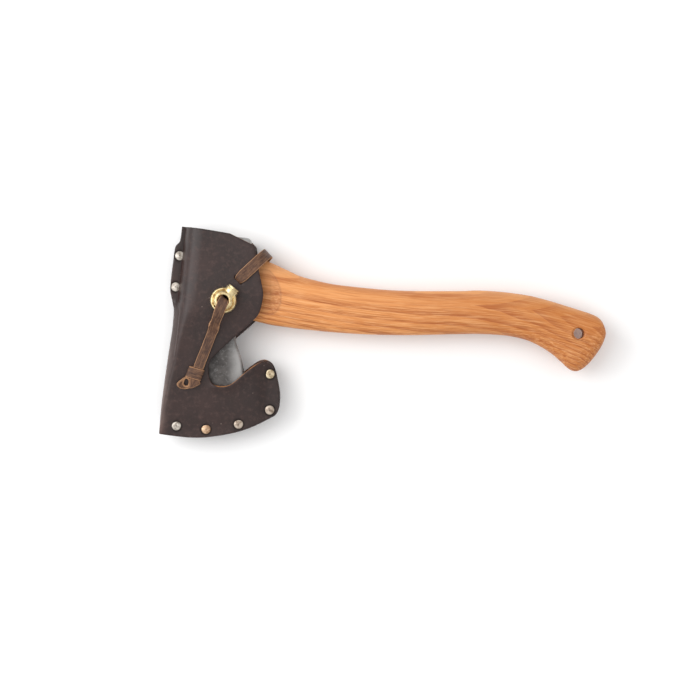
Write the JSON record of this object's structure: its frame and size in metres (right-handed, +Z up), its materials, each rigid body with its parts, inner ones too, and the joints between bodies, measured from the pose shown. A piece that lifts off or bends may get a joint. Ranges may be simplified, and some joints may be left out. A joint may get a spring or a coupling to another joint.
{
  "type": "carving hatchet",
  "caption": "Short carving hatchet with a curved wooden handle, its forged head held in a riveted leather sheath by a thong and a brass cord lock.",
  "frame": {"origin": "bottom centre of the bounding box, with the hatchet lying on its side", "axes": "+X along the handle away from the head, +Y towards the poll, +Z up through the thickness"},
  "size_m": [0.4115, 0.1947, 0.0587],
  "materials": {
    "forged_steel": "forged and oiled, ground bright at the edge",
    "hickory": "hickory, oiled, satin",
    "wedge_wood": "end grain, plain",
    "wedge_steel": "plain steel",
    "sheath_leather": "thick dark brown vegetable-tanned leather, waxed",
    "rivet_metal": "plated, dulled",
    "burr_copper": "copper washer",
    "lock_brass": "polished brass, lightly worn",
    "button_brass": "polished brass",
    "spring_steel": "spring wire",
    "thong_leather": "mid brown latigo thong with raw edges"
  },
  "bodies": {
    "axe": {"axe_head": "forged_steel", "handle": "hickory", "eye_wedge": "wedge_wood", "ring_wedge": "wedge_steel"},
    "sheath": {"sheath_leather": "sheath_leather", "flange_rivet_1": "rivet_metal", "flange_rivet_2": "rivet_metal", "edge_rivet_1": "rivet_metal", "edge_rivet_2": "rivet_metal", "edge_rivet_3": "rivet_metal", "heel_rivet_1": "rivet_metal", "heel_rivet_2": "rivet_metal", "flange_burr_1": "burr_copper", "flange_burr_2": "burr_copper", "edge_burr_1": "burr_copper", "edge_burr_2": "burr_copper", "edge_burr_3": "burr_copper", "heel_burr_1": "burr_copper", "heel_burr_2": "burr_copper", "lock_body": "lock_brass", "lock_spring": "spring_steel", "thong_loop": "thong_leather", "thong_tail": "thong_leather", "thong_knot": "thong_leather", "thong_tip": "thong_leather"},
    "lock_button": {"lock_plunger": "button_brass"}
  },
  "joints": [
    {"name": "sheath_slide", "type": "slide", "parent": "axe", "child": "sheath", "axis": [-0.1045, -0.9945, 0], "range_m": [0, 0.185], "deforming": ["thong_loop"]},
    {"name": "button_press", "type": "slide", "parent": "sheath", "child": "lock_button", "axis": [-0.6428, -0.766, 0], "range_m": [0, 0.0022], "stiffness_N_per_m": 900, "springref_m": -0.002, "deforming": ["lock_spring"]}
  ]
}
